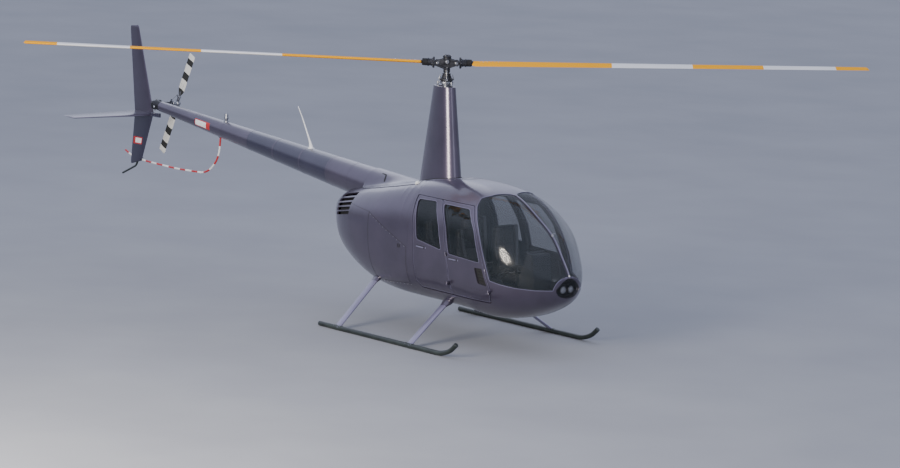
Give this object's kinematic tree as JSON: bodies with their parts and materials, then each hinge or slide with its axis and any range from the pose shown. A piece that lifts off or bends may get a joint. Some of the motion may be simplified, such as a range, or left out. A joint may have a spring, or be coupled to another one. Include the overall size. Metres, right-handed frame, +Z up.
{
  "type": "helicopter",
  "caption": "Light piston helicopter with a teetering main rotor on a tall faired mast, a rounded glazed cabin with side doors, a slim tail cone with fins and a tail rotor, and fixed skids.",
  "frame": {"origin": "on the floor, under the middle of the object's box", "axes": "+X towards the nose, +Y towards the port side, +Z up"},
  "size_m": [9.8438, 8.02, 3.333],
  "materials": {
    "paint": "dark violet-grey metallic gloss",
    "glass": "clear, lightly tinted",
    "lining": "matt dark cabin trim",
    "metal": "machined and cast alloy",
    "engine": "cast alloy",
    "dark": "near-black green satin paint",
    "struts": "pale lilac-silver paint",
    "blade": "yellow paint with white bands and dark roots",
    "tail_blade": "white paint with dark bands",
    "seat": "dark grained leather",
    "white": "white satin paint",
    "guard": "red and white stripes",
    "steel": "bare steel"
  },
  "bodies": {
    "airframe": {"cabin_shell": "paint", "cabin_belly": "paint", "engine_cowl_right": "paint", "engine_cowl_left": "paint", "nose_lamps": "dark", "cabin_floor": "lining", "windscreen_right": "glass", "windscreen_left": "glass", "mast_fairing": "paint", "tail_cone_fairing": "paint", "tail_cone": "paint", "vertical_fin": "paint", "horizontal_stabilizer": "paint", "tail_gearbox": "dark", "tail_rotor_guard": "guard", "tail_skid": "dark", "swashplate_stand": "steel", "main_gearbox": "metal", "engine_block": "engine", "exhaust_pipe": "steel", "skid_tube_right": "dark", "skid_tube_left": "dark", "strut_front_right": "struts", "strut_front_left": "struts", "strut_aft_right": "struts", "strut_aft_left": "struts", "seat_cushion_front_right": "seat", "seat_cushion_front_left": "seat", "seat_back_front_right": "seat", "seat_back_front_left": "seat", "seat_cushion_aft_right": "seat", "seat_cushion_aft_left": "seat", "seat_back_aft_right": "seat", "seat_back_aft_left": "seat", "instrument_console": "lining", "cyclic_stick": "dark", "whip_antenna": "white", "beacon": "metal"},
    "main_rotor": {"rotor_shaft": "steel", "rotor_hub": "metal", "main_blade_1": "blade", "main_blade_2": "blade", "swashplate_turning": "metal"},
    "tail_rotor": {"tail_rotor_hub": "metal", "tail_rotor_blade_1": "tail_blade", "tail_rotor_blade_2": "tail_blade"},
    "front_door_right": {"door_front_right": "paint", "window_front_right": "glass"},
    "front_door_left": {"door_front_left": "paint", "window_front_left": "glass"},
    "aft_door_right": {"door_aft_right": "paint", "window_aft_right": "glass"},
    "aft_door_left": {"door_aft_left": "paint", "window_aft_left": "glass"}
  },
  "joints": [
    {"name": "main_rotor_spin", "type": "hinge", "parent": "airframe", "child": "main_rotor", "pos_m": [1.68546, 0, 3.23], "axis": [0, 0, 1], "continuous": true},
    {"name": "tail_rotor_spin", "type": "hinge", "parent": "airframe", "child": "tail_rotor", "pos_m": [-4.20754, 0.338, 2.027], "axis": [0, 1, 0], "continuous": true},
    {"name": "front_door_right_swing", "type": "hinge", "parent": "airframe", "child": "front_door_right", "pos_m": [3.37546, -0.659, 0.76], "axis": [-0.28, 0, 0.96], "range_deg": [0, 70]},
    {"name": "front_door_left_swing", "type": "hinge", "parent": "airframe", "child": "front_door_left", "pos_m": [3.37546, 0.659, 0.76], "axis": [0.28, 0, -0.96], "range_deg": [0, 70]},
    {"name": "aft_door_right_swing", "type": "hinge", "parent": "airframe", "child": "aft_door_right", "pos_m": [2.63046, -0.667, 0.76], "axis": [-0.1681, 0.0261, 0.9854], "range_deg": [0, 70]},
    {"name": "aft_door_left_swing", "type": "hinge", "parent": "airframe", "child": "aft_door_left", "pos_m": [2.63046, 0.667, 0.76], "axis": [0.1681, 0.0261, -0.9854], "range_deg": [0, 70]}
  ]
}
